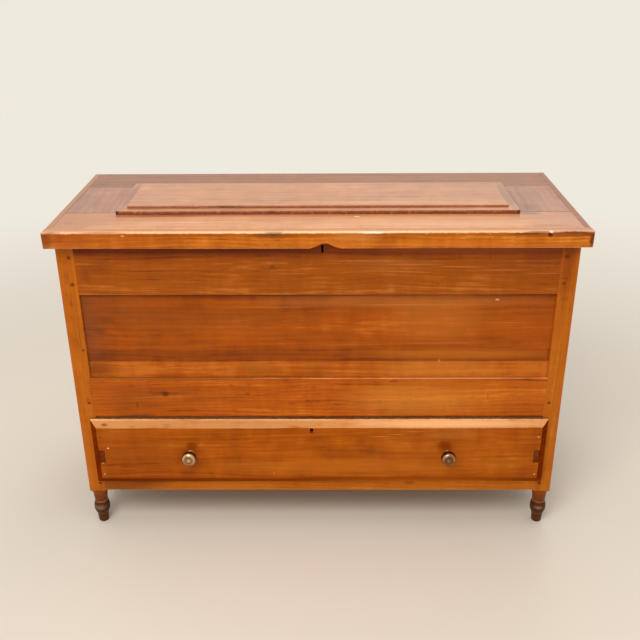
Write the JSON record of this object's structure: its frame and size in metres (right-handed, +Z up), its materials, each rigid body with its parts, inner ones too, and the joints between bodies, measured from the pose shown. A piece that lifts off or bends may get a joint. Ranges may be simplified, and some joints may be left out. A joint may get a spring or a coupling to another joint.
{
  "type": "blanket chest",
  "caption": "Framed and panelled wooden blanket chest on turned feet, with a hinged stepped lid and a long bevelled drawer with round knobs below.",
  "frame": {"origin": "on the floor, under the middle of the box that holds the closed chest", "axes": "+X to the right-hand end seen from the front, +Y from the front to the back, +Z up"},
  "size_m": [1.294, 0.5515, 0.885],
  "materials": {
    "post_wood": "old clear varnish, glossy",
    "rail_wood": "old clear varnish, glossy",
    "panel_wood": "old clear varnish, glossy",
    "lid_wood": "old clear varnish, glossy and worn",
    "step_wood": "old clear varnish, glossy and worn",
    "strip_wood": "old clear varnish, glossy",
    "drawer_face_wood": "old clear varnish, glossy",
    "bare_wood": "bare planed wood, aged",
    "knob_metal": "aged and polished by use",
    "hinge_brass": "dull with age",
    "lock_iron": "blackened iron, dull",
    "steel": "dark with age"
  },
  "bodies": {
    "case": {"front_left_post": "post_wood", "front_right_post": "post_wood", "back_left_post": "post_wood", "back_right_post": "post_wood", "front_top_rail": "rail_wood", "front_lower_rail": "rail_wood", "front_bottom_rail": "rail_wood", "front_panel": "panel_wood", "left_top_rail": "rail_wood", "left_bottom_rail": "rail_wood", "left_panel": "panel_wood", "right_top_rail": "rail_wood", "right_bottom_rail": "rail_wood", "right_panel": "panel_wood", "back_top_rail": "rail_wood", "back_bottom_rail": "rail_wood", "back_panel": "panel_wood", "joint_pegs": "post_wood", "chest_floor": "bare_wood", "floor_bearers": "bare_wood", "drawer_runners": "bare_wood", "drawer_guides": "bare_wood", "hinge_case_leaves": "hinge_brass", "hinge_pins": "steel", "hinge_case_screws": "steel", "chest_lock": "lock_iron", "chest_lock_screws": "steel"},
    "lid": {"lid_front_rail": "lid_wood", "lid_back_rail": "lid_wood", "lid_left_stile": "lid_wood", "lid_right_stile": "lid_wood", "lid_panel": "lid_wood", "lid_lower_step": "step_wood", "lid_upper_step": "step_wood", "lid_front_strip": "strip_wood", "lid_left_strip": "strip_wood", "lid_right_strip": "strip_wood", "strip_nails": "steel", "hinge_lid_leaves": "hinge_brass", "hinge_lid_screws": "steel", "lock_link_plate": "lock_iron"},
    "drawer": {"drawer_front": "drawer_face_wood", "drawer_left_side": "bare_wood", "drawer_right_side": "bare_wood", "drawer_back": "bare_wood", "drawer_bottom": "bare_wood", "left_knob": "knob_metal", "right_knob": "knob_metal", "knob_nuts": "steel", "drawer_nails": "steel", "drawer_lock": "lock_iron", "drawer_lock_screws": "steel"},
    "chest_bolt": {"chest_lock_bolt": "steel"},
    "drawer_bolt": {"drawer_lock_bolt": "steel"}
  },
  "joints": [
    {"name": "lid_hinge", "type": "hinge", "parent": "case", "child": "lid", "pos_m": [0, 0.27125, 0.8485], "axis": [-1, 0, 0], "range_deg": [0, 100]},
    {"name": "drawer_slide", "type": "slide", "parent": "case", "child": "drawer", "axis": [0, -1, 0], "range_m": [0, 0.35]},
    {"name": "chest_bolt_slide", "type": "slide", "parent": "case", "child": "chest_bolt", "axis": [1, 0, 0], "range_m": [0, 0.008]},
    {"name": "drawer_bolt_slide", "type": "slide", "parent": "drawer", "child": "drawer_bolt", "axis": [0, 0, 1], "range_m": [0, 0.008]}
  ]
}
